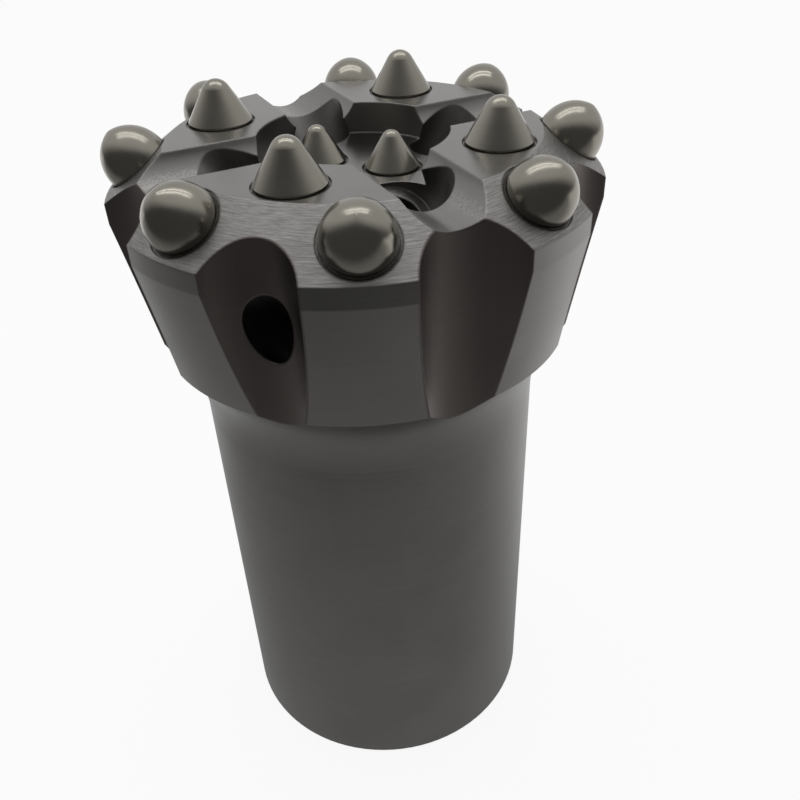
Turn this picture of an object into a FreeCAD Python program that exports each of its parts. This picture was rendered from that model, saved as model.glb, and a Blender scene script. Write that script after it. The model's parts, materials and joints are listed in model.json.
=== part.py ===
import FreeCAD, Part
import os
import Sketcher
from FreeCAD import Vector

# Button drill bit for top-hammer rock drilling: a turned steel body with a socket for the rod,
# a fluted head with a dropped centre, and hard metal buttons pressed into drilled seats.
# Millimetres and degrees. The bit stands on the end of its skirt, so z = 0 is the skirt end,
# the z axis is the bit's own axis and the working face looks up.

SIZES = {
    # Steel body, outside
    "skirt_radius": 33.3,
    "skirt_height": 86.0,
    "skirt_bevel": 1.0,
    "shoulder_radius": 39.3,
    "shoulder_height": 101.0,
    "head_radius": 44.0,
    "land_height": 3.6,
    "gauge_angle": 35.0,
    "gauge_width": 11.0,
    "face_height": 136.2,
    # Rod socket, and the flushing chamber drilled above it
    "socket_radius": 22.5,
    "socket_depth": 78.0,
    "socket_bevel": 2.0,
    "chamber_radius": 11.0,
    "chamber_height": 108.0,
    "point_angle": 31.0,
    # Dropped centre, and the chip grooves that run out of it
    "recess_radius": 17.0,
    "recess_depth": 5.8,
    "groove_radius": 7.5,
    "groove_depth": 4.7,
    "groove_azimuth": -67.5,
    # Flushing holes: a wide mouth in each groove, then a passage down to the chamber
    "mouth_radius": 6.5,
    "mouth_depth": 7.0,
    "mouth_offset": 20.4,
    "passage_radius": 4.5,
    "passage_tilt": 35.0,
    "side_hole_radius": 4.25,
    "side_hole_height": 117.5,
    "side_hole_tilt": 45.0,
    # Flutes: wide ones at the ends of the grooves, narrow ones between them
    "wide_flute_radius": 10.3,
    "wide_flute_depth": 7.1,
    "narrow_flute_radius": 8.6,
    "narrow_flute_depth": 6.0,
    "narrow_flute_azimuth": -112.5,
    # Buttons, each with its seat's place and its depth below the steel
    "gauge_button_radius": 5.85,
    "gauge_button_inset": 5.9,
    "gauge_pair_azimuth": -112.0,
    "gauge_pair_spread": 21.6,
    "gauge_button_depth": 10.5,
    "gauge_button_tip": 2.0,
    "gauge_button_flank": 6.8,
    "face_button_radius": 5.8,
    "face_button_offset": 26.1,
    "face_button_azimuth": -112.5,
    "face_button_depth": 10.0,
    "face_button_tip": 2.75,
    "face_button_cone": 30.5,
    "centre_button_radius": 4.8,
    "centre_button_offset": 6.95,
    "centre_button_azimuth": -21.5,
    "centre_button_depth": 6.5,
    "centre_button_tip": 1.8,
    "centre_button_cone": 32.0,
    "button_collar": 0.3,
    "button_bevel": 0.8,
    "seat_clearance": 0.02,
    "rim_width": 0.45,
    "rim_depth": 0.6,
    # How far outside the steel each cutter starts
    "overcut": 6.0,
}

# Sizes that follow from the ones above
DERIVED = {
    "skirt_foot": "skirt_radius - skirt_bevel",
    "plateau_radius": "head_radius - gauge_width",
    "land_top": "face_height - (head_radius - plateau_radius) * tan(gauge_angle * 1 deg)",
    "land_bottom": "land_top - land_height",
    "socket_mouth": "socket_radius + socket_bevel",
    "chamber_tip": "chamber_height + chamber_radius * tan(point_angle * 1 deg)",
    "recess_floor": "face_height - recess_depth",
    "recess_cut": "recess_depth + overcut",
    "groove_floor": "face_height - groove_depth",
    "groove_axis": "groove_floor + groove_radius",
    "groove_length": "head_radius + overcut",
    "mouth_cut": "mouth_depth + overcut",
    "passage_cut": "mouth_offset / sin(passage_tilt * 1 deg) + overcut",
    "wide_flute_floor": "head_radius - wide_flute_depth",
    "narrow_flute_floor": "head_radius - narrow_flute_depth",
    "side_hole_cut": "(narrow_flute_floor - chamber_radius / 2) / sin(side_hole_tilt * 1 deg)"
                     " + overcut",
    "wide_flute_axis": "wide_flute_floor + wide_flute_radius",
    "narrow_flute_axis": "narrow_flute_floor + narrow_flute_radius",
    "flute_top": "face_height + overcut",
    "flute_cut": "flute_top - skirt_height",
    "gauge_button_offset": "head_radius - gauge_button_inset",
    "gauge_button_seat": "face_height"
                         " - (gauge_button_offset - plateau_radius) * tan(gauge_angle * 1 deg)",
    "gauge_button_bottom": "-gauge_button_depth",
    "gauge_button_side": "gauge_button_bottom + button_bevel",
    "gauge_button_foot": "gauge_button_radius - button_bevel",
    "gauge_tip_centre": "button_collar"
                        " + sqrt((gauge_button_flank - gauge_button_tip) ^ 2"
                        " - (gauge_button_flank - gauge_button_radius) ^ 2)",
    "gauge_button_height": "gauge_tip_centre + gauge_button_tip",
    "gauge_tip_across": "gauge_button_tip * (gauge_button_flank - gauge_button_radius)"
                        " / (gauge_button_flank - gauge_button_tip)",
    "gauge_tip_up": "gauge_tip_centre + gauge_button_tip"
                    " * (gauge_tip_centre - button_collar)"
                    " / (gauge_button_flank - gauge_button_tip)",
    "face_button_bottom": "-face_button_depth",
    "face_button_side": "face_button_bottom + button_bevel",
    "face_button_foot": "face_button_radius - button_bevel",
    "face_tip_across": "face_button_tip * cos(face_button_cone * 1 deg)",
    "face_tip_up": "button_collar"
                   " + (face_button_radius - face_tip_across) / tan(face_button_cone * 1 deg)",
    "face_button_height": "face_tip_up"
                          " + face_button_tip * (1 - sin(face_button_cone * 1 deg))",
    "centre_button_bottom": "-centre_button_depth",
    "centre_button_side": "centre_button_bottom + button_bevel",
    "centre_button_foot": "centre_button_radius - button_bevel",
    "centre_tip_across": "centre_button_tip * cos(centre_button_cone * 1 deg)",
    "centre_tip_up": "button_collar"
                     " + (centre_button_radius - centre_tip_across)"
                     " / tan(centre_button_cone * 1 deg)",
    "centre_button_height": "centre_tip_up"
                            " + centre_button_tip * (1 - sin(centre_button_cone * 1 deg))",
    "gauge_seat_radius": "gauge_button_radius + seat_clearance",
    "face_seat_radius": "face_button_radius + seat_clearance",
    "centre_seat_radius": "centre_button_radius + seat_clearance",
    "gauge_rim_radius": "gauge_button_radius + rim_width",
    "face_rim_radius": "face_button_radius + rim_width",
    "centre_rim_radius": "centre_button_radius + rim_width",
    "rim_cut": "rim_depth + overcut",
    "gauge_seat_cut": "gauge_button_depth + overcut",
    "face_seat_cut": "face_button_depth + overcut",
    "centre_seat_cut": "centre_button_depth + overcut",
}

GROOVES = 4
NARROW_FLUTES = 4
GAUGE_PAIRS = 4
FACE_BUTTONS = 4
CENTRE_BUTTONS = 2

# Each row of buttons: its name, the azimuths of the first button of each kind in it, how often
# they repeat round the bit, the height of its seat and how far it leans outwards
BUTTON_ROWS = (
    ("gauge", ("(Sizes.gauge_pair_azimuth - Sizes.gauge_pair_spread)",
               "(Sizes.gauge_pair_azimuth + Sizes.gauge_pair_spread)"),
     GAUGE_PAIRS, "Sizes.gauge_button_seat", "Sizes.gauge_angle"),
    ("face", ("Sizes.face_button_azimuth",), FACE_BUTTONS, "Sizes.face_height", "0"),
    ("centre", ("Sizes.centre_button_azimuth",), CENTRE_BUTTONS, "Sizes.recess_floor", "0"),
)

doc = FreeCAD.newDocument("ButtonBit")
sheet = doc.addObject("Spreadsheet::Sheet", "Sizes")


def fill_sheet():
    """Write every size to the sheet, under its own alias."""
    row = 0
    for name, number in SIZES.items():
        row += 1
        sheet.set(f"A{row}", name)
        sheet.set(f"B{row}", str(number))
        sheet.setAlias(f"B{row}", name)
    for name, formula in DERIVED.items():
        row += 1
        sheet.set(f"A{row}", name)
        sheet.set(f"B{row}", "=" + formula)
        sheet.setAlias(f"B{row}", name)
    doc.recompute()


def size(name):
    """The number that the sheet holds for a size."""
    return float(getattr(sheet, name))


def origin_feature(body, role):
    return next(item for item in body.Origin.OriginFeatures if item.Role == role)


def new_sketch(body, name, plane="XZ_Plane"):
    sketch = body.newObject("Sketcher::SketchObject", name)
    sketch.AttachmentSupport = [(origin_feature(body, plane), "")]
    sketch.MapMode = "FlatFace"
    return sketch


def tie(sketch, constraint, name):
    """Add a constraint whose value is a size of the sheet."""
    index = sketch.addConstraint(constraint)
    sketch.setExpression(f"Constraints[{index}]", f"Sizes.{name}")


def fix_point(sketch, edge, end, corner):
    """Tie a point to its distances from the sketch's origin; None puts it on that axis."""
    across, up = corner
    if across is None:
        sketch.addConstraint(Sketcher.Constraint("PointOnObject", edge, end, -2))
    else:
        tie(sketch, Sketcher.Constraint("DistanceX", -1, 1, edge, end, size(across)), across)
    if up is None:
        sketch.addConstraint(Sketcher.Constraint("PointOnObject", edge, end, -1))
    else:
        tie(sketch, Sketcher.Constraint("DistanceY", -1, 1, edge, end, size(up)), up)


def point_of(corner):
    across, up = corner
    return Vector(size(across) if across else 0, size(up) if up else 0, 0)


def end_at(sketch, edge, point):
    """Which end of an edge, 1 or 2, lies at a point."""
    gaps = {end: (sketch.getPoint(edge, end) - point).Length for end in (1, 2)}
    return min(gaps, key=gaps.get)


def tangent_arc(start, heading, end):
    """Arc that leaves its start along heading and ends at end, with its heading there."""
    chord = end - start
    sideways = chord - heading * chord.dot(heading)
    radius = chord.Length ** 2 / (2 * sideways.Length)
    centre = start + sideways.normalize() * radius
    middle = centre + ((start + end) / 2 - centre).normalize() * radius
    along = Vector(chord).normalize()
    return Part.Arc(start, middle, end), along * (2 * along.dot(heading)) - heading


def turned_profile(sketch, corners, arcs=()):
    """Closed outline of edges that each start at a corner: its radius and height, as names of
    sizes. The edges numbered in arcs are arcs, tangent to the edge before them."""
    points = [point_of(corner) for corner in corners]
    count = len(points)
    heading = None
    for index in range(count):
        start, end = points[index], points[(index + 1) % count]
        if index in arcs:
            edge, heading = tangent_arc(start, heading, end)
        else:
            edge, heading = Part.LineSegment(start, end), (end - start).normalize()
        sketch.addGeometry(edge)
    for index in range(count):
        previous = (index - 1) % count
        start = end_at(sketch, index, points[index])
        before = end_at(sketch, previous, points[index])
        joint = "Tangent" if index in arcs else "Coincident"
        sketch.addConstraint(Sketcher.Constraint(joint, previous, before, index, start))
        fix_point(sketch, index, start, corners[index])


def turn(body, kind, name, sketch):
    """Revolve an outline round the upright axis, to add steel or to bore it out."""
    feature = body.newObject(kind, name)
    feature.Profile = sketch
    feature.ReferenceAxis = (sketch, ["V_Axis"])
    feature.Angle = 360
    doc.recompute()
    return feature


def pattern(body, feature, count):
    """Repeat a cut evenly round the bit's axis."""
    copies = body.newObject("PartDesign::PolarPattern", feature.Name + "Pattern")
    copies.Originals = [feature]
    copies.Axis = (origin_feature(body, "Z_Axis"), [""])
    copies.Angle = 360
    copies.Occurrences = count
    body.Tip = copies
    doc.recompute()
    return copies


def leaning_place(azimuth, offset, height, tilt, lead="0"):
    """Placement of something whose own z axis leans outwards by tilt, at an offset from the
    bit's axis in the direction of azimuth; lead moves it outwards along its own axis."""
    across = f"({offset} + {lead} * sin({tilt} * 1 deg))"
    return (f"placement(vector({across} * cos({azimuth} * 1 deg);"
            f" {across} * sin({azimuth} * 1 deg);"
            f" {height} + {lead} * cos({tilt} * 1 deg));"
            f" rotation(vector(0; 0; 1); {azimuth}) * rotation(vector(0; 1; 0); {tilt}))")


def round_cut(body, name, radius, length, place, outward=False):
    """Cut a cylinder inwards, or outwards, from a circle at a place."""
    sketch = new_sketch(body, name + "Circle", "XY_Plane")
    sketch.setExpression("AttachmentOffset", place)
    sketch.addGeometry(Part.Circle(Vector(0, 0, 0), Vector(0, 0, 1), size(radius)))
    sketch.addConstraint(Sketcher.Constraint("Coincident", 0, 3, -1, 1))
    tie(sketch, Sketcher.Constraint("Radius", 0, size(radius)), radius)
    doc.recompute()
    solid = body.Shape.Volume
    cut = body.newObject("PartDesign::Pocket", name)
    cut.Profile = sketch
    cut.setExpression("Length", f"Sizes.{length}")
    cut.Reversed = outward
    doc.recompute()
    if not body.Shape.Volume < solid:
        raise RuntimeError(f"{name} cuts nothing")
    return cut


def make_steel():
    """The one-piece steel body."""
    body = doc.addObject("PartDesign::Body", "bit_body")
    outside = new_sketch(body, "OutsideProfile")
    turned_profile(outside, [
        (None, None), ("skirt_foot", None), ("skirt_radius", "skirt_bevel"),
        ("skirt_radius", "skirt_height"), ("shoulder_radius", "shoulder_height"),
        ("head_radius", "land_bottom"), ("head_radius", "land_top"),
        ("plateau_radius", "face_height"), (None, "face_height")], arcs=(3,))
    turn(body, "PartDesign::Revolution", "Forging", outside)
    inside = new_sketch(body, "SocketProfile")
    turned_profile(inside, [
        (None, None), ("socket_mouth", None), ("socket_radius", "socket_bevel"),
        ("socket_radius", "socket_depth"), ("chamber_radius", "socket_depth"),
        ("chamber_radius", "chamber_height"), (None, "chamber_tip")])
    turn(body, "PartDesign::Groove", "Socket", inside)

    round_cut(body, "Recess", "recess_radius", "recess_cut",
              leaning_place("0", "0", "Sizes.face_height", "0", "Sizes.overcut"))
    groove = round_cut(body, "ChipGroove", "groove_radius", "groove_length",
                       leaning_place("Sizes.groove_azimuth", "0", "Sizes.groove_axis", "90"),
                       outward=True)
    pattern(body, groove, GROOVES)
    mouth_place = leaning_place("Sizes.groove_azimuth", "Sizes.mouth_offset",
                                "Sizes.groove_floor", "Sizes.passage_tilt", "Sizes.overcut")
    pattern(body, round_cut(body, "Mouth", "mouth_radius", "mouth_cut", mouth_place), GROOVES)
    pattern(body, round_cut(body, "Passage", "passage_radius", "passage_cut", mouth_place),
            GROOVES)

    for kind, azimuth, count in (("wide", "groove_azimuth", GROOVES),
                                 ("narrow", "narrow_flute_azimuth", NARROW_FLUTES)):
        flute = round_cut(body, kind.title() + "Flute", f"{kind}_flute_radius", "flute_cut",
                          leaning_place(f"Sizes.{azimuth}", f"Sizes.{kind}_flute_axis",
                                        "Sizes.flute_top", "0"))
        pattern(body, flute, count)
    side_hole = round_cut(
        body, "SideHole", "side_hole_radius", "side_hole_cut",
        leaning_place("Sizes.narrow_flute_azimuth", "Sizes.narrow_flute_floor",
                      "Sizes.side_hole_height", "Sizes.side_hole_tilt", "Sizes.overcut"))
    body.Tip = side_hole

    for row, azimuths, count, height, tilt in BUTTON_ROWS:
        for side, azimuth in enumerate(azimuths, 1):
            place = leaning_place(azimuth, f"Sizes.{row}_button_offset", height, tilt,
                                  "Sizes.overcut")
            name = f"{row.title()}{side}"
            seat = round_cut(body, name + "Seat", f"{row}_seat_radius", f"{row}_seat_cut", place)
            pattern(body, seat, count)
            rim = round_cut(body, name + "Rim", f"{row}_rim_radius", "rim_cut", place)
            pattern(body, rim, count)
    return body


def make_button(row, number, azimuth, height, tilt):
    """One hard metal button: a straight shank in its seat and a bullet-shaped head."""
    body = doc.addObject("PartDesign::Body", f"{row}_button_{number}")
    outline = new_sketch(body, f"{body.Name}_profile")
    turned_profile(outline, [
        (None, f"{row}_button_bottom"), (f"{row}_button_foot", f"{row}_button_bottom"),
        (f"{row}_button_radius", f"{row}_button_side"), (f"{row}_button_radius", "button_collar"),
        (f"{row}_tip_across", f"{row}_tip_up"), (None, f"{row}_button_height")],
        arcs=(3, 4) if row == "gauge" else (4,))
    turn(body, "PartDesign::Revolution", f"{body.Name}_turned", outline)
    body.setExpression("Placement", leaning_place(
        azimuth, f"Sizes.{row}_button_offset", height, tilt))
    doc.recompute()
    return body


def check_and_write(pieces):
    """Stop on any failed feature or shape, then write one STEP file for each piece."""
    for item in doc.Objects:
        if "Invalid" in item.State or "Error" in item.State:
            raise RuntimeError(f"{item.Name} failed: {item.State}")
    for piece in pieces:
        if piece.Shape.isNull() or not piece.Shape.isValid():
            raise RuntimeError(f"{piece.Label} has no valid shape")
    os.makedirs("parts", exist_ok=True)
    for piece in pieces:
        piece.Shape.exportStep(f"parts/{piece.Label}.step")


fill_sheet()
all_pieces = [make_steel()]
for row, azimuths, count, height, tilt in BUTTON_ROWS:
    for step in range(count):
        for side, azimuth in enumerate(azimuths, 1):
            all_pieces.append(make_button(row, step * len(azimuths) + side,
                                          f"({azimuth} + {360 * step / count})", height, tilt))
doc.recompute()
check_and_write(all_pieces)
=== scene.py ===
"""Looks of a button drill bit: dark turned steel, polished hard metal and the rod's thread."""

import json
import math

import bpy
from bpy.props import FloatProperty, FloatVectorProperty, IntProperty, PointerProperty
from mathutils import Matrix, Vector

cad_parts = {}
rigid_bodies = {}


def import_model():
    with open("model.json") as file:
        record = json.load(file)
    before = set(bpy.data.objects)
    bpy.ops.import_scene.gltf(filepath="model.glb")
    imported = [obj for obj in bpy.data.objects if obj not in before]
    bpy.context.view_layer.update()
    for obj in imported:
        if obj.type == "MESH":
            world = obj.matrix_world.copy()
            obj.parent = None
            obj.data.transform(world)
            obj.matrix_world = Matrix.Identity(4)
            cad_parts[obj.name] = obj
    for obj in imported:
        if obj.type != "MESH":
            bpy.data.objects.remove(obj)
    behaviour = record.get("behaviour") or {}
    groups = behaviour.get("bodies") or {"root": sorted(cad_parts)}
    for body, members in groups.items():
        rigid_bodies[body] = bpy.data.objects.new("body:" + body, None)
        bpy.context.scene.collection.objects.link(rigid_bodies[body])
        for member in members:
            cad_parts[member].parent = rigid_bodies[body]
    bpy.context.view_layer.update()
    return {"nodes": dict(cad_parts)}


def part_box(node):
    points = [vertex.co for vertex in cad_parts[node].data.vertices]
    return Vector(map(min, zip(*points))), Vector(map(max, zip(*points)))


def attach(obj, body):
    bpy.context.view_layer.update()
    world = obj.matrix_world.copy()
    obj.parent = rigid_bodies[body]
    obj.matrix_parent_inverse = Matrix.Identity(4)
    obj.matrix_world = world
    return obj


bl_info = {
    "name": "Button Drill Bit Looks",
    "version": (1, 0, 0),
    "blender": (4, 5, 0),
    "location": "3D View > Sidebar > Drill Bit",
    "description": "Finishes a packed button drill bit and sets it in a plain studio",
    "category": "Object",
}

MM = 0.001
BODY = "root"
STEEL_NODE = "bit_body"

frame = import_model()
steel_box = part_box(STEEL_NODE)

# The body's own measures, in millimetres, that the finishes and the thread are set out from
FACE_HEIGHT = 136.2
HEAD_RADIUS = 44.0
LAND_TOP = 128.5
LAND_BOTTOM = 124.9
GROOVE_AZIMUTH = 22.5
WIDE_FLUTE = (47.2, 10.3)
NARROW_FLUTE = (46.6, 8.6)
FLUTE_START = (92.0, 94.0)
SOCKET_RADIUS = 22.5
SOCKET_BOTTOM = 78.0

# The thread: where it starts, what it leaves free in all, and its ridge's form, in millimetres
THREAD_START = 5.0
THREAD_FREE = 6.0
RIDGE_BEDDING = 0.05
RIDGE_SQUASH = 0.62

# How the room brightens: the lean of its gradient to the right and back, where it starts and
# ends, and its strength there
ROOM_LEAN = (0.12, 0.8)
ROOM_FADE = (0.03, 0.66)
ROOM_BRIGHT = 0.76

# How the floor brightens in the metal: the lean to the right, and two steps towards the back
FLOOR_LEAN = 0.35
NEAR_FADE, NEAR_BRIGHT = (-0.26, -0.07), 0.34
FAR_FADE, FAR_BRIGHT = (-0.05, 0.16), 0.66
FLOOR_SEEN = 0.9

# The studio, in metres and watts
FLOOR_SIZE = 6.0
FLOOR_GAP = 0.05 * MM
LAMP_SIZE = (0.75, 0.05)
LAMP_POWER = 0.42
LAMP_PLACES = {"front_strip": (0.0, 0.10, 0.70), "rear_strip": (0.0, 0.24, 0.68)}
LAMP_TARGET = (0.0, 0.0, 0.1)
CAMERA_PLACE = (0.0, -0.14772, 0.18255)
CAMERA_RIGHT = (0.99708, -0.06697, -0.03671)
CAMERA_UP = (0.06869, 0.57486, 0.81536)


# ---------------------------------------------------------------------------------------------
# Settings


class SteelSettings(bpy.types.PropertyGroup):
    colour: FloatVectorProperty(
        name="Steel", description="Colour of the bare steel", subtype="COLOR",
        min=0, max=1, default=(0.225, 0.219, 0.212))
    # The flutes' darker colour is partly oxide and partly painted shade for their hollows
    flute_oxide_and_shade_colour: FloatVectorProperty(
        name="Flute oxide and shade", description="Colour of the darker steel in the flutes",
        subtype="COLOR", min=0, max=1, default=(0.155, 0.136, 0.128))
    roughness: FloatProperty(
        name="Roughness", description="Gloss of the turned surfaces",
        subtype="FACTOR", min=0, max=1, default=0.36)
    edge_radius: FloatProperty(
        name="Edge radius", description="How far the broken edges catch the light",
        subtype="DISTANCE", unit="LENGTH", default=0.5 * MM)


class ButtonSettings(bpy.types.PropertyGroup):
    colour: FloatVectorProperty(
        name="Hard metal", description="Colour of the polished hard metal", subtype="COLOR",
        min=0, max=1, default=(0.262, 0.247, 0.214))
    roughness: FloatProperty(
        name="Roughness", description="Gloss of the buttons", subtype="FACTOR",
        min=0, max=1, default=0.22)


class ThreadSettings(bpy.types.PropertyGroup):
    pitch: FloatProperty(
        name="Pitch", description="Rise of the rope thread in one turn", subtype="DISTANCE",
        unit="LENGTH", default=12.7 * MM)
    depth: FloatProperty(
        name="Depth", description="How far the thread's crest stands inside the bore",
        subtype="DISTANCE", unit="LENGTH", default=1.7 * MM)
    steps: IntProperty(
        name="Steps", description="Faces round one turn of the thread", default=96, min=24)


class StudioSettings(bpy.types.PropertyGroup):
    lens: FloatProperty(
        name="Lens", description="Focal length of the camera", subtype="DISTANCE_CAMERA",
        default=37.9)
    sky: FloatProperty(
        name="Sky", description="Strength of the soft light from all round",
        default=0.6, min=0)
    dark: FloatProperty(
        name="Dark side", description="How much the unlit side of the room still glows",
        subtype="FACTOR", default=0.10, min=0, max=1)


# ---------------------------------------------------------------------------------------------
# Node helpers


class Nodes:
    """A material's or a world's nodes, added one after another and joined by name."""

    def __init__(self, owner):
        owner.use_nodes = True
        self.tree = owner.node_tree
        self.tree.nodes.clear()

    def add(self, kind, inputs=None, **settings):
        node = self.tree.nodes.new(kind)
        for name, value in settings.items():
            setattr(node, name, value)
        for name, value in (inputs or {}).items():
            self.join(value, node.inputs[name])
        return node

    def join(self, value, socket):
        if isinstance(value, bpy.types.NodeSocket):
            self.tree.links.new(value, socket)
        else:
            socket.default_value = value

    def math(self, operation, first, second=0.0, third=0.0):
        node = self.add("ShaderNodeMath", {0: first, 1: second, 2: third}, operation=operation)
        return node.outputs[0]

    def between(self, value, low, high, soft):
        """1 where a value lies between two limits, with soft edges."""
        rise = self.ramp(value, low - soft, low + soft)
        fall = self.ramp(value, high + soft, high - soft)
        return self.math("MULTIPLY", rise, fall)

    def ramp(self, value, start, end, out_start=0.0, out_end=1.0):
        node = self.add("ShaderNodeMapRange", {
            "Value": value, "From Min": start, "From Max": end,
            "To Min": out_start, "To Max": out_end})
        return node.outputs["Result"]

    def smooth(self, value, start, end, out_start=0.0, out_end=1.0):
        node = self.add("ShaderNodeMapRange", {
            "Value": value, "From Min": start, "From Max": end,
            "To Min": out_start, "To Max": out_end}, interpolation_type="SMOOTHSTEP")
        return node.outputs["Result"]

    def blend(self, factor, first, second):
        node = self.add("ShaderNodeMix", {0: factor, 2: first, 3: second})
        return node.outputs[0]

    def mix(self, factor, first, second):
        node = self.add("ShaderNodeMix", data_type="RGBA")
        for value, socket in ((factor, node.inputs[0]), (first, node.inputs[6]),
                              (second, node.inputs[7])):
            if isinstance(value, tuple) and len(value) == 3:
                value = (*value, 1.0)
            self.join(value, socket)
        return node.outputs[2]

    def noise(self, vector, scale, detail=2.0, roughness=0.5):
        node = self.add("ShaderNodeTexNoise", {
            "Vector": vector, "Scale": scale, "Detail": detail, "Roughness": roughness})
        return node.outputs["Fac"]

    def vector(self, x, y, z):
        return self.add("ShaderNodeCombineXYZ", {0: x, 1: y, 2: z}).outputs[0]


def flute_mask(nodes, radius_mm, angle, shift, flute):
    """1 on the wall of the nearest of four flutes, whose azimuths are shift plus quarter turns."""
    axis, bore = flute
    folded = nodes.math("PINGPONG", nodes.math("ADD", angle, math.pi * 2 - shift), math.pi / 4)
    across = nodes.math("MULTIPLY", radius_mm, nodes.math("SINE", folded))
    along = nodes.math("MULTIPLY", radius_mm, nodes.math("COSINE", folded))
    out = nodes.math("SUBTRACT", along, axis)
    gap = nodes.math("SQRT", nodes.math("ADD", nodes.math("MULTIPLY", out, out),
                                        nodes.math("MULTIPLY", across, across)))
    return nodes.ramp(gap, bore + 0.35, bore + 0.15)


def steel_material(settings):
    """Dark steel: turned all round, ground on the face, milled in the grooves and flutes; the
    flutes' colour is darkened partly for oxide and partly as painted shade, and the gauge carries
    painted glints.
    """
    material = bpy.data.materials.new("TurnedSteel")
    nodes = Nodes(material)
    place = nodes.add("ShaderNodeTexCoord").outputs["Object"]
    metres = nodes.add("ShaderNodeSeparateXYZ", {0: place})
    x, y, z = (nodes.math("DIVIDE", metres.outputs[axis], MM) for axis in range(3))
    radius = nodes.math("SQRT", nodes.math("ADD", nodes.math("MULTIPLY", x, x),
                                           nodes.math("MULTIPLY", y, y)))
    angle = nodes.math("ARCTAN2", y, x)
    normal = nodes.add("ShaderNodeSeparateXYZ",
                       {0: nodes.add("ShaderNodeNewGeometry").outputs["True Normal"]})
    facing_up = nodes.ramp(normal.outputs[2], 0.95, 0.99)

    # Where each finish lies, and where the painted shade and painted glints go
    quarter = math.radians(GROOVE_AZIMUTH)
    wide = flute_mask(nodes, radius, angle, quarter, WIDE_FLUTE)
    narrow = flute_mask(nodes, radius, angle, -quarter, NARROW_FLUTE)
    flutes = nodes.math("MULTIPLY", nodes.math("MAXIMUM", wide, narrow),
                        nodes.ramp(z, *FLUTE_START))
    on_gauge = nodes.math("MULTIPLY",
                          nodes.between(normal.outputs[2], 0.72, 0.90, 0.02),
                          nodes.between(z, LAND_TOP - 0.2, FACE_HEIGHT + 0.1, 0.1))
    on_face = nodes.math("MULTIPLY", facing_up, nodes.ramp(z, LAND_TOP, LAND_TOP + 0.5))
    below_face = nodes.math("MULTIPLY", nodes.ramp(z, FACE_HEIGHT - 0.1, FACE_HEIGHT - 0.3),
                            nodes.ramp(radius, HEAD_RADIUS, HEAD_RADIUS - 1.0))
    inside = nodes.math("MULTIPLY", below_face, nodes.ramp(z, LAND_BOTTOM, LAND_BOTTOM + 1.0))

    # Fine rings left by the lathe: quick along the height and radius, slow round the axis
    rings = nodes.vector(nodes.math("MULTIPLY", angle, 1.5), nodes.math("MULTIPLY", z, 2.6),
                         nodes.math("MULTIPLY", radius, 2.6))
    lathe = nodes.noise(rings, 1.0, 3.0, 0.6)
    streaks = nodes.vector(nodes.math("MULTIPLY", angle, 14.0), nodes.math("MULTIPLY", z, 5.5),
                           nodes.math("MULTIPLY", radius, 5.5))
    tool_marks = nodes.noise(streaks, 1.0, 4.0, 0.7)
    grain = nodes.noise(place, 3200.0, 3.0, 0.6)
    cloud = nodes.noise(place, 55.0, 4.0, 0.55)

    # Painted shade: the flutes take the darker colour, partly oxide and partly shade painted into
    # their hollows
    bright, dark = tuple(settings.colour), tuple(settings.flute_oxide_and_shade_colour)
    base = nodes.mix(flutes, bright, dark)
    shade = nodes.ramp(cloud, 0.3, 0.7, 0.90, 1.08)
    shade = nodes.math("MULTIPLY", shade, nodes.ramp(lathe, 0.3, 0.7, 0.96, 1.03))
    # Painted glints: on the gauge the tool-mark streaks lighten and darken the steel's colour,
    # standing in for light sparkling off them
    painted_glints = nodes.ramp(tool_marks, 0.35, 0.75, 0.78, 1.65)
    shade = nodes.math("MULTIPLY", shade, nodes.blend(on_gauge, 1.0, painted_glints))
    tint = nodes.add("ShaderNodeVectorMath", {0: base, 3: shade}, operation="SCALE").outputs[0]

    rough = nodes.ramp(cloud, 0.3, 0.7, settings.roughness - 0.04, settings.roughness + 0.05)
    rough = nodes.math("ADD", rough, nodes.math("MULTIPLY", on_gauge, 0.10))
    rough = nodes.math("ADD", rough, nodes.math("MULTIPLY", flutes, 0.06))
    rough = nodes.math("SUBTRACT", rough, nodes.math("MULTIPLY", on_face, 0.13))

    height = nodes.math("MULTIPLY", lathe, nodes.ramp(on_gauge, 0.0, 1.0, 0.30, 0.5))
    height = nodes.math("ADD", height, nodes.math(
        "MULTIPLY", tool_marks, nodes.ramp(on_gauge, 0.0, 1.0, 0.06, 1.4)))
    height = nodes.math("ADD", height, nodes.math(
        "MULTIPLY", grain, nodes.ramp(inside, 0.0, 1.0, 0.10, 0.16)))
    edge = nodes.add("ShaderNodeBevel", {"Radius": settings.edge_radius}, samples=6)
    bump = nodes.add("ShaderNodeBump", {
        "Strength": 0.35, "Distance": 0.05 * MM, "Height": height,
        "Normal": edge.outputs[0]})
    shader = nodes.add("ShaderNodeBsdfPrincipled", {
        "Base Color": tint, "Metallic": 1.0, "Roughness": rough, "Normal": bump.outputs[0]})
    nodes.add("ShaderNodeOutputMaterial", {"Surface": shader.outputs[0]})
    return material


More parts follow.
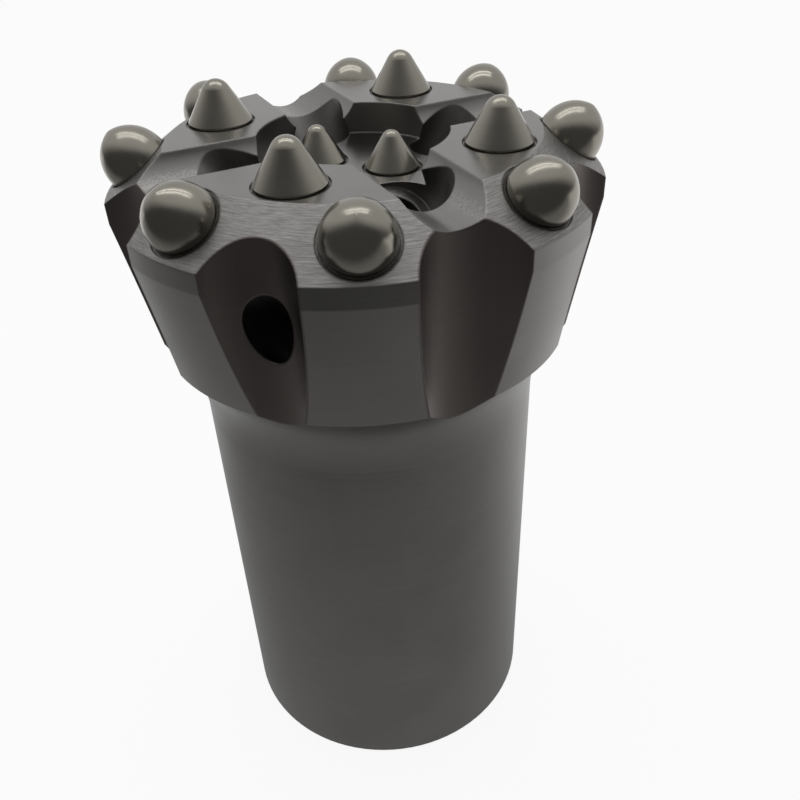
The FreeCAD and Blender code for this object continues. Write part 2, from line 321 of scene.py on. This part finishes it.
def hard_metal_material(settings):
    """Sintered hard metal, ground and tumbled to a warm grey shine."""
    material = bpy.data.materials.new("HardMetal")
    nodes = Nodes(material)
    place = nodes.add("ShaderNodeTexCoord").outputs["Object"]
    cloud = nodes.noise(place, 130.0, 3.0, 0.5)
    grain = nodes.noise(place, 5200.0, 2.0, 0.6)
    warm = tuple(settings.colour)
    pale = tuple(min(1.0, channel * 1.1) for channel in warm)
    tint = nodes.mix(nodes.ramp(cloud, 0.35, 0.65), warm, pale)
    rough = nodes.ramp(cloud, 0.3, 0.7, settings.roughness - 0.03, settings.roughness + 0.04)
    bump = nodes.add("ShaderNodeBump", {
        "Strength": 0.12, "Distance": 0.02 * MM, "Height": grain})
    shader = nodes.add("ShaderNodeBsdfPrincipled", {
        "Base Color": tint, "Metallic": 1.0, "Roughness": rough, "Normal": bump.outputs[0]})
    nodes.add("ShaderNodeOutputMaterial", {"Surface": shader.outputs[0]})
    return material


# ---------------------------------------------------------------------------------------------
# Mesh helpers


def only(item):
    """Select one object and nothing else."""
    for other in bpy.context.view_layer.objects:
        other.select_set(False)
    item.select_set(True)
    bpy.context.view_layer.objects.active = item


def finish_with(item, material):
    item.data.materials.clear()
    item.data.materials.append(material)


# ---------------------------------------------------------------------------------------------
# Operators


class BIT_OT_steel_body(bpy.types.Operator):
    """Give the one-piece steel body its turned, ground and milled finishes"""

    bl_idname = "bit.steel_body"
    bl_label = "Finish Steel Body"

    def execute(self, context):
        material = steel_material(context.scene.bit_steel)
        finish_with(frame["nodes"][STEEL_NODE], material)
        return {"FINISHED"}


class BIT_OT_buttons(bpy.types.Operator):
    """Give every button its polished hard metal"""

    bl_idname = "bit.buttons"
    bl_label = "Finish Buttons"

    def execute(self, context):
        material = hard_metal_material(context.scene.bit_buttons)
        buttons = [node for name, node in frame["nodes"].items() if "button" in name]
        if not buttons:
            raise RuntimeError("the frame has no buttons")
        for node in buttons:
            finish_with(node, material)
        return {"FINISHED"}


class BIT_OT_thread(bpy.types.Operator):
    """Cut the left-hand rope thread inside the rod socket"""

    bl_idname = "bit.thread"
    bl_label = "Make Socket Thread"

    def execute(self, context):
        thread = context.scene.bit_thread
        turns = math.floor((SOCKET_BOTTOM - THREAD_FREE) * MM / thread.pitch)
        for other in context.view_layer.objects:
            other.select_set(False)
        bpy.ops.mesh.primitive_circle_add(
            vertices=24, radius=thread.pitch / 2, fill_type="NOTHING",
            location=(SOCKET_RADIUS * MM, 0, 0), rotation=(math.pi / 2, 0, 0))
        ridge = context.active_object
        ridge.name = "socket_thread"
        bpy.ops.object.transform_apply(location=True, rotation=True, scale=True)
        # Flatten the ring to a low rounded ridge whose back is bedded just inside the steel
        for vertex in ridge.data.vertices:
            inward = (SOCKET_RADIUS * MM - vertex.co.x) / (thread.pitch / 2)
            back = (SOCKET_RADIUS + RIDGE_BEDDING) * MM
            vertex.co.x = back - max(0.0, inward) * thread.depth
            vertex.co.z *= RIDGE_SQUASH
        screw = ridge.modifiers.new("Thread", "SCREW")
        screw.axis = "Z"
        screw.angle = -2 * math.pi * turns
        screw.screw_offset = thread.pitch * turns
        screw.steps = screw.render_steps = thread.steps * turns
        screw.use_normal_calculate = True
        screw.use_smooth_shade = True
        bpy.ops.object.modifier_apply(modifier=screw.name)
        for vertex in ridge.data.vertices:
            vertex.co.z += THREAD_START * MM
        only(ridge)
        bpy.ops.object.mode_set(mode="EDIT")
        bpy.ops.mesh.select_all(action="SELECT")
        bpy.ops.mesh.remove_doubles(threshold=1e-6)
        bpy.ops.mesh.normals_make_consistent(inside=False)
        bpy.ops.object.mode_set(mode="OBJECT")
        finish_with(ridge, bpy.data.materials["TurnedSteel"])
        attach(ridge, BODY)
        return {"FINISHED"}


class BIT_OT_studio(bpy.types.Operator):
    """Build the pale floor, the soft room, the two strip lamps and the camera"""

    bl_idname = "bit.studio"
    bl_label = "Set Up Studio"

    def execute(self, context):
        studio = context.scene.bit_studio
        self.world(studio)
        self.floor(studio)
        self.lamps()
        self.camera(studio)
        context.scene.view_settings.view_transform = "Standard"
        return {"FINISHED"}

    def world(self, studio):
        """A white room whose near side, behind the camera, is dark to the metal."""
        world = bpy.data.worlds.new("Studio")
        bpy.context.scene.world = world
        nodes = Nodes(world)
        way = nodes.add("ShaderNodeSeparateXYZ", {
            0: nodes.add("ShaderNodeTexCoord").outputs["Generated"]})
        sideways, backwards = ROOM_LEAN
        lift = nodes.math("ADD", way.outputs[2],
                          nodes.math("MULTIPLY", way.outputs[1], backwards))
        lift = nodes.math("ADD", lift, nodes.math("MULTIPLY", way.outputs[0], sideways))
        room = nodes.smooth(lift, *ROOM_FADE, studio.dark, ROOM_BRIGHT)
        path = nodes.add("ShaderNodeLightPath")
        mirrored = nodes.math("MAXIMUM", path.outputs["Is Glossy Ray"],
                              path.outputs["Is Transmission Ray"])
        strength = nodes.blend(mirrored, studio.sky, room)
        strength = nodes.blend(path.outputs["Is Camera Ray"], strength, 1.0)
        sky = nodes.add("ShaderNodeBackground", {
            "Color": (1.0, 1.0, 1.0, 1.0), "Strength": strength})
        nodes.add("ShaderNodeOutputWorld", {"Surface": sky.outputs[0]})

    def floor(self, studio):
        """White paper that takes a faint shadow and fades to the dark side of the room."""
        for other in bpy.context.view_layer.objects:
            other.select_set(False)
        bpy.ops.mesh.primitive_plane_add(
            size=FLOOR_SIZE, location=(0, 0, steel_box[0].z - FLOOR_GAP))
        floor = bpy.context.active_object
        floor.name = "studio_floor"
        material = bpy.data.materials.new("PaleFloor")
        nodes = Nodes(material)
        path = nodes.add("ShaderNodeLightPath")
        place = nodes.add("ShaderNodeSeparateXYZ", {
            0: nodes.add("ShaderNodeTexCoord").outputs["Object"]})
        depth = nodes.math("ADD", place.outputs[1],
                           nodes.math("MULTIPLY", place.outputs[0], FLOOR_LEAN))
        near = nodes.smooth(depth, *NEAR_FADE, studio.dark, NEAR_BRIGHT)
        far = nodes.smooth(depth, *FAR_FADE, 0.0, FAR_BRIGHT)
        mirrored = nodes.math("ADD", near, far)
        strength = nodes.blend(path.outputs["Is Camera Ray"], mirrored, 1.0)
        paper = nodes.add("ShaderNodeBsdfDiffuse", {"Color": (0.95, 0.95, 0.95, 1.0)})
        glow = nodes.add("ShaderNodeEmission", {"Strength": strength})
        seen = nodes.math("MAXIMUM", path.outputs["Is Glossy Ray"],
                          path.outputs["Is Transmission Ray"])
        seen = nodes.blend(path.outputs["Is Camera Ray"], seen, FLOOR_SEEN)
        blend = nodes.add("ShaderNodeMixShader", {
            0: seen, 1: paper.outputs[0], 2: glow.outputs[0]})
        nodes.add("ShaderNodeOutputMaterial", {"Surface": blend.outputs[0]})
        finish_with(floor, material)

    def lamps(self):
        for name, place in LAMP_PLACES.items():
            lamp = bpy.data.lights.new(name, "AREA")
            lamp.shape = "RECTANGLE"
            lamp.size, lamp.size_y = LAMP_SIZE
            lamp.energy = LAMP_POWER
            holder = bpy.data.objects.new(name, lamp)
            bpy.context.scene.collection.objects.link(holder)
            holder.location = place
            aim = Vector(LAMP_TARGET) - Vector(place)
            holder.rotation_euler = aim.to_track_quat("-Z", "Y").to_euler()

    def camera(self, studio):
        data = bpy.data.cameras.new("studio_camera")
        data.lens = studio.lens
        data.sensor_width = 36.0
        data.clip_start, data.clip_end = 0.01, 20.0
        camera = bpy.data.objects.new("studio_camera", data)
        bpy.context.scene.collection.objects.link(camera)
        right, up = Vector(CAMERA_RIGHT), Vector(CAMERA_UP)
        right.normalize()
        up = (up - right * up.dot(right)).normalized()
        back = right.cross(up)
        turn = Matrix((right, up, back)).transposed().to_4x4()
        camera.matrix_world = Matrix.Translation(CAMERA_PLACE) @ turn
        bpy.context.scene.camera = camera


class BIT_PT_panel(bpy.types.Panel):
    """Steps that finish the drill bit"""

    bl_idname = "BIT_PT_panel"
    bl_label = "Drill Bit"
    bl_space_type = "VIEW_3D"
    bl_region_type = "UI"
    bl_category = "Drill Bit"

    def draw(self, context):
        for step in STEPS:
            self.layout.operator(step.bl_idname)


STEPS = (BIT_OT_steel_body, BIT_OT_buttons, BIT_OT_thread, BIT_OT_studio)
CLASSES = (SteelSettings, ButtonSettings, ThreadSettings, StudioSettings, *STEPS, BIT_PT_panel)


def register():
    for item in CLASSES:
        bpy.utils.register_class(item)
    scene = bpy.types.Scene
    scene.bit_steel = PointerProperty(type=SteelSettings)
    scene.bit_buttons = PointerProperty(type=ButtonSettings)
    scene.bit_thread = PointerProperty(type=ThreadSettings)
    scene.bit_studio = PointerProperty(type=StudioSettings)


def unregister():
    scene = bpy.types.Scene
    for name in ("bit_steel", "bit_buttons", "bit_thread", "bit_studio"):
        delattr(scene, name)
    for item in reversed(CLASSES):
        bpy.utils.unregister_class(item)


def main():
    register()
    bpy.ops.bit.steel_body()
    bpy.ops.bit.buttons()
    bpy.ops.bit.thread()
    bpy.ops.bit.studio()


if __name__ == "__main__":
    main()
